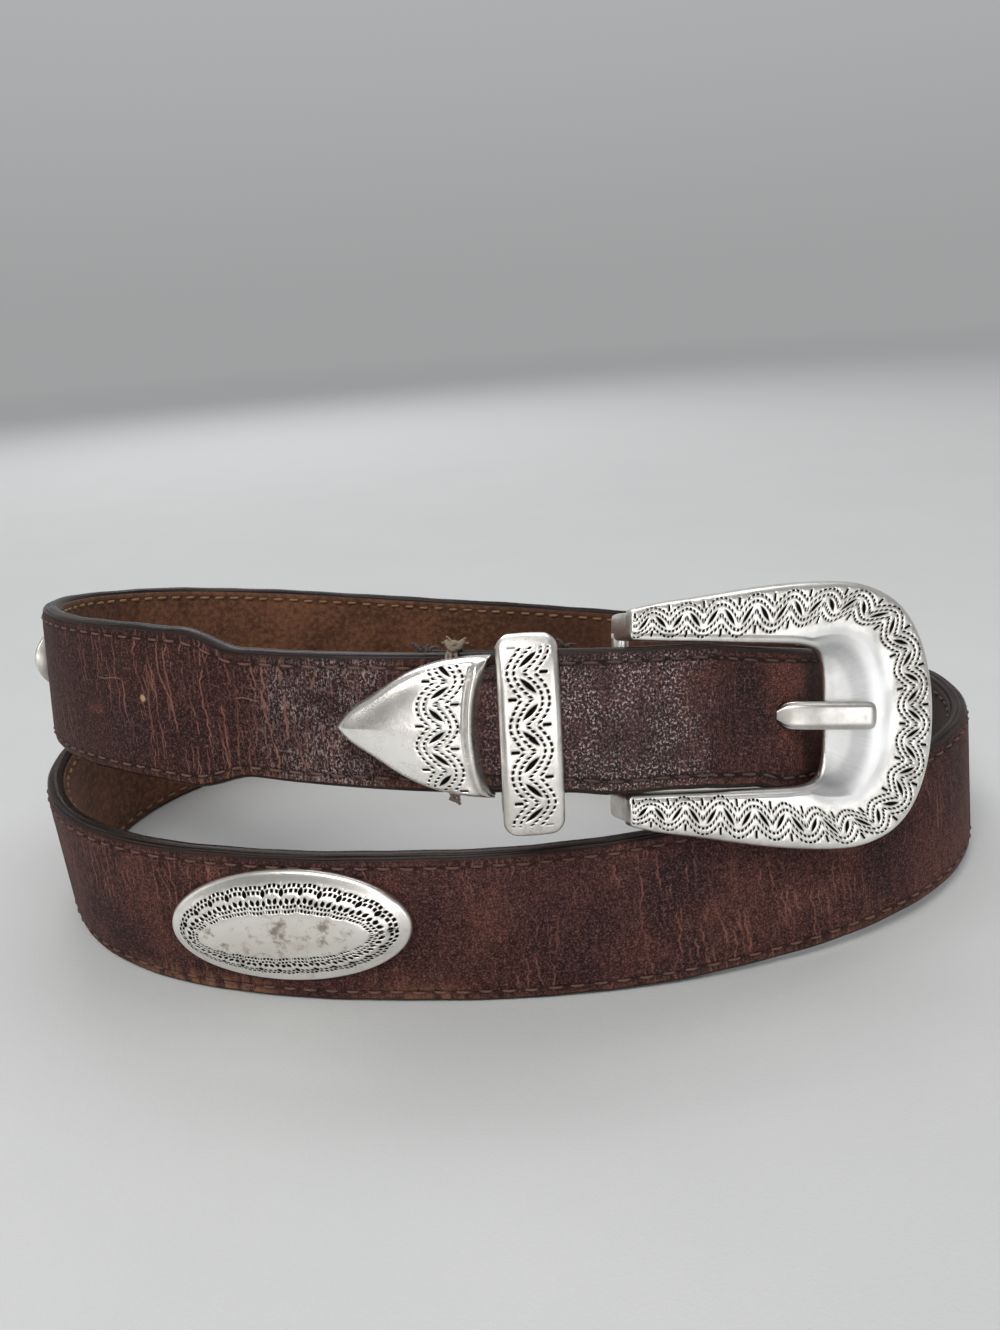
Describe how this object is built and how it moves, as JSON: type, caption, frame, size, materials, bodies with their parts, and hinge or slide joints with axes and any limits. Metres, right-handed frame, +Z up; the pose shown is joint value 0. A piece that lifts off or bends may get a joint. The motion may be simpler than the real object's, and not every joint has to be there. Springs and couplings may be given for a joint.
{
  "type": "western belt",
  "caption": "Western leather belt wound as a double loop and fastened: engraved horseshoe buckle with prong, keeper, arrowhead tip and oval conchos.",
  "frame": {"origin": "centre of the bounding box on the floor", "axes": "+Z up; the front with the buckle faces -Y; +X to the right seen from the front; the belt stands on its lower edge"},
  "size_m": [0.2283, 0.1404, 0.0749],
  "materials": {
    "outer_leather": "dark brown distressed leather, satin, with lighter crease veins and dark painted edges",
    "lining_leather": "tan-brown suede lining with golden-tan stitches",
    "antique_silver": "engraved antique silver, softly polished with dark recesses",
    "concho_silver": "engraved antique silver, softly polished with dark recesses",
    "binding_thread": "waxed brown thread"
  },
  "bodies": {
    "root": {"strap_outer": "outer_leather", "strap_lining": "lining_leather", "buckle_frame": "antique_silver", "prong": "antique_silver", "keeper": "antique_silver", "tip": "antique_silver", "concho_1": "concho_silver", "concho_2": "concho_silver", "concho_3": "concho_silver", "concho_4": "concho_silver", "binding_knot": "binding_thread"}
  },
  "joints": []
}
